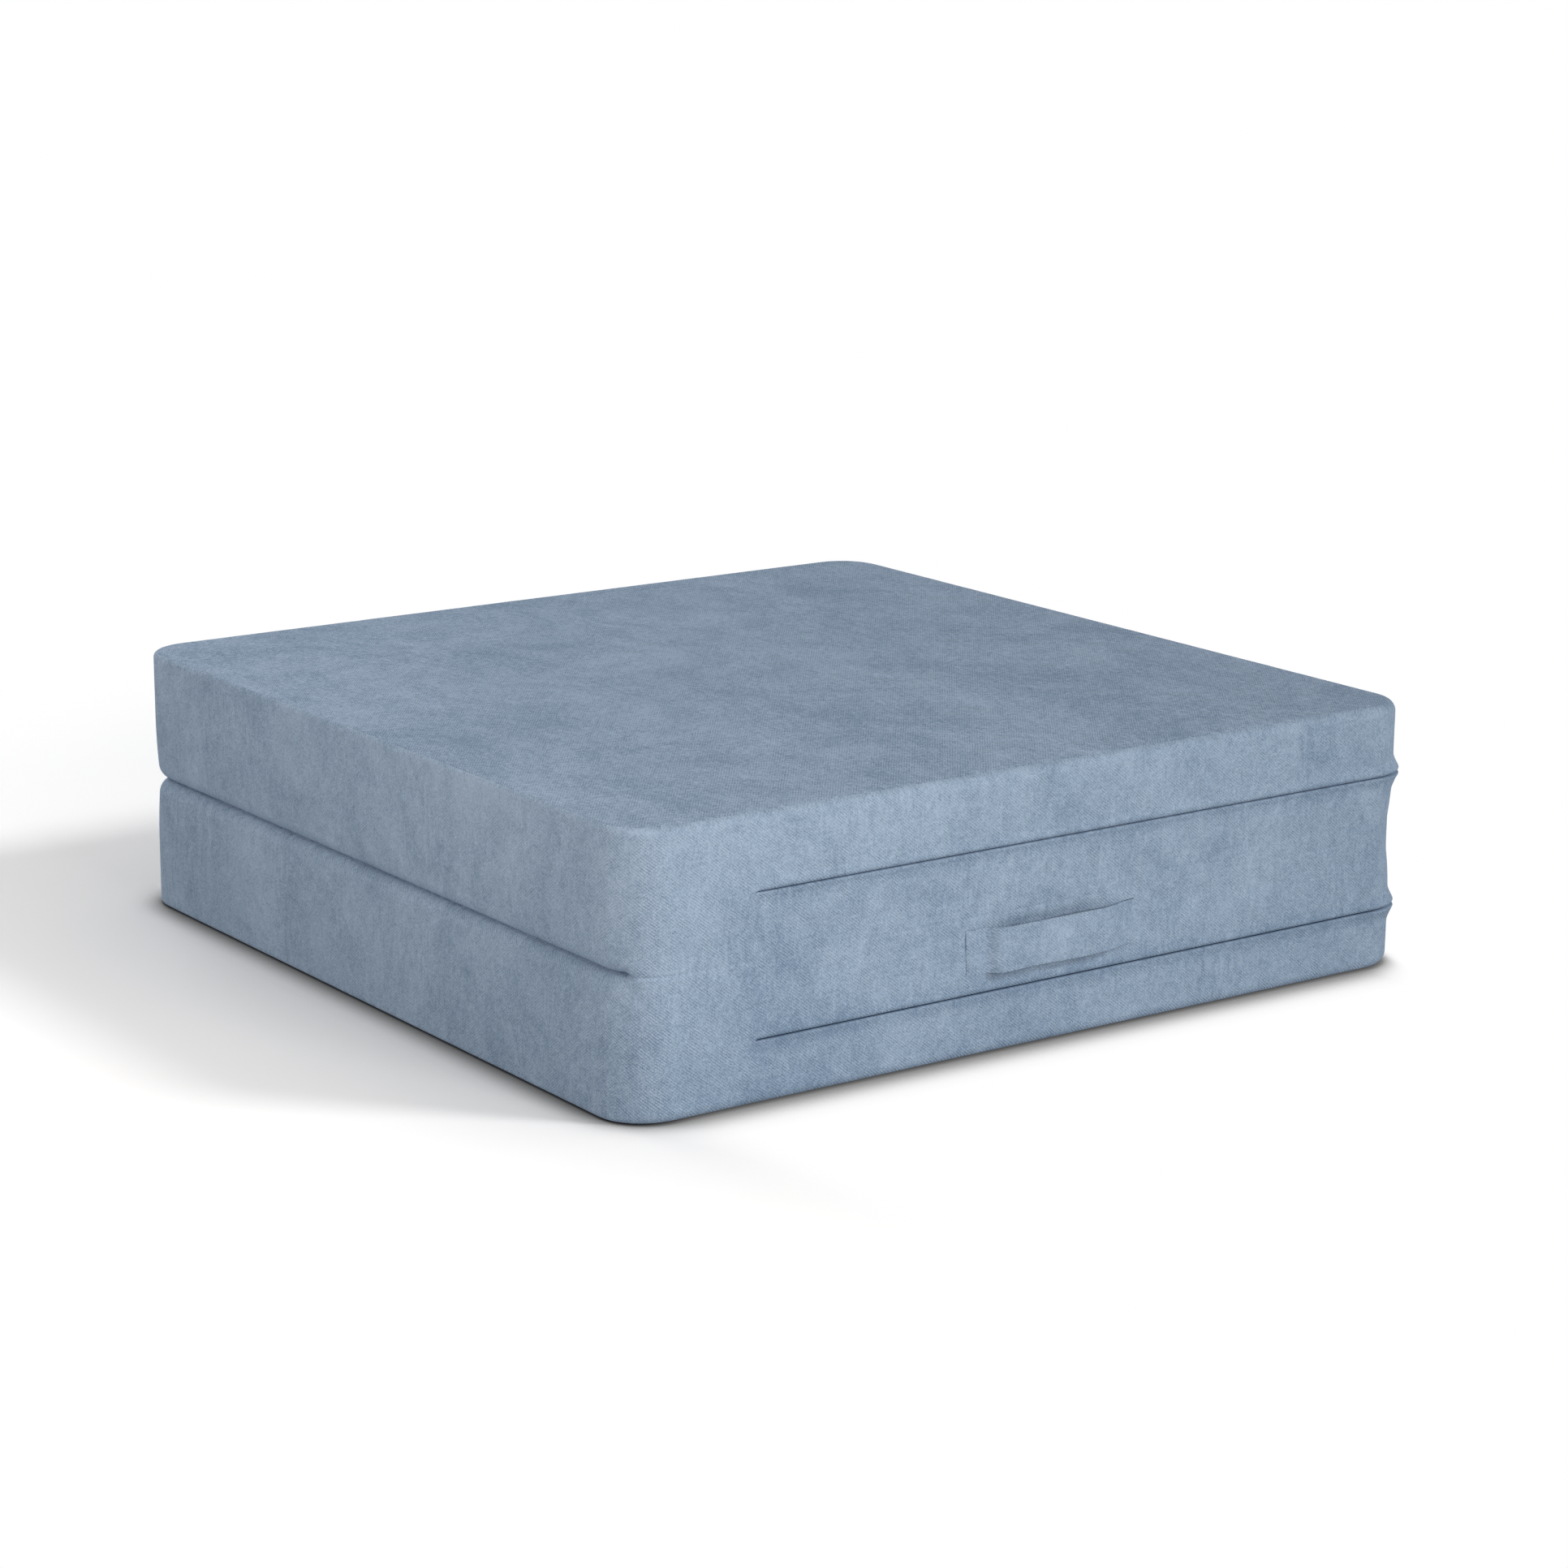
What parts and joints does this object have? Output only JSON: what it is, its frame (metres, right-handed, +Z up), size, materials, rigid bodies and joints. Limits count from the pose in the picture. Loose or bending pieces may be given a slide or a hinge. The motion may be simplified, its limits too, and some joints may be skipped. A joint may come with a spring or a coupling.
{
  "type": "folding futon",
  "caption": "Folding foam futon shown folded: square slabs in zipped cloth covers, joined by a cloth fold, with a sewn carry strap on the front.",
  "frame": {"origin": "middle of the folded futon's underside, on the floor", "axes": "+X along the fold to the side with the zip pulls, -Y is the front with the fold and the carry strap, +Z up"},
  "size_m": [1.0061, 1.0104, 0.2922],
  "materials": {
    "cover_cloth": "matte",
    "strap_cloth": "matte",
    "foam": "matte",
    "zip_tape": "matte",
    "zip_chain": "satin",
    "zip_metal": "satin"
  },
  "bodies": {
    "lower_slab": {"lower_foam_core": "foam", "lower_outer_panel": "cover_cloth", "lower_inner_panel": "cover_cloth", "lower_border": "cover_cloth", "lower_zip_tape_outer": "zip_tape", "lower_zip_tape_inner": "zip_tape", "lower_zip_chain": "zip_chain", "lower_zip_start_stop": "zip_metal", "lower_zip_end_stops": "zip_metal", "carry_handle": "strap_cloth"},
    "fold_web": {"fold_web": "cover_cloth"},
    "upper_slab": {"upper_foam_core": "foam", "upper_outer_panel": "cover_cloth", "upper_inner_panel": "cover_cloth", "upper_border": "cover_cloth", "upper_zip_tape_outer": "zip_tape", "upper_zip_tape_inner": "zip_tape", "upper_zip_chain": "zip_chain", "upper_zip_start_stop": "zip_metal", "upper_zip_end_stops": "zip_metal"},
    "lower_slider": {"lower_zip_slider": "zip_metal"},
    "lower_pull": {"lower_zip_pull": "zip_metal"},
    "upper_slider": {"upper_zip_slider": "zip_metal"},
    "upper_pull": {"upper_zip_pull": "zip_metal"}
  },
  "joints": [
    {"name": "lower_fold", "type": "hinge", "parent": "lower_slab", "child": "fold_web", "pos_m": [0, -0.498, 0.13515], "axis": [1, 0, 0], "range_deg": [0, 90]},
    {"name": "upper_fold", "type": "hinge", "parent": "fold_web", "child": "upper_slab", "pos_m": [0, -0.498, 0.15315], "axis": [1, 0, 0], "range_deg": [0, 90]},
    {"name": "lower_zip", "type": "slide", "parent": "lower_slab", "child": "lower_slider", "axis": [0, -1, 0], "range_m": [0, 0.78], "deforming": ["lower_zip_chain"]},
    {"name": "lower_pull_swing", "type": "hinge", "parent": "lower_slider", "child": "lower_pull", "pos_m": [0.5037, 0.3484, 0.0675], "axis": [0, 0, -1], "range_deg": [0, 180]},
    {"name": "upper_zip", "type": "slide", "parent": "upper_slab", "child": "upper_slider", "axis": [0, -1, 0], "range_m": [0, 0.78], "deforming": ["upper_zip_chain"]},
    {"name": "upper_pull_swing", "type": "hinge", "parent": "upper_slider", "child": "upper_pull", "pos_m": [0.5037, 0.3484, 0.2118], "axis": [0, 0, -1], "range_deg": [0, 180]}
  ]
}
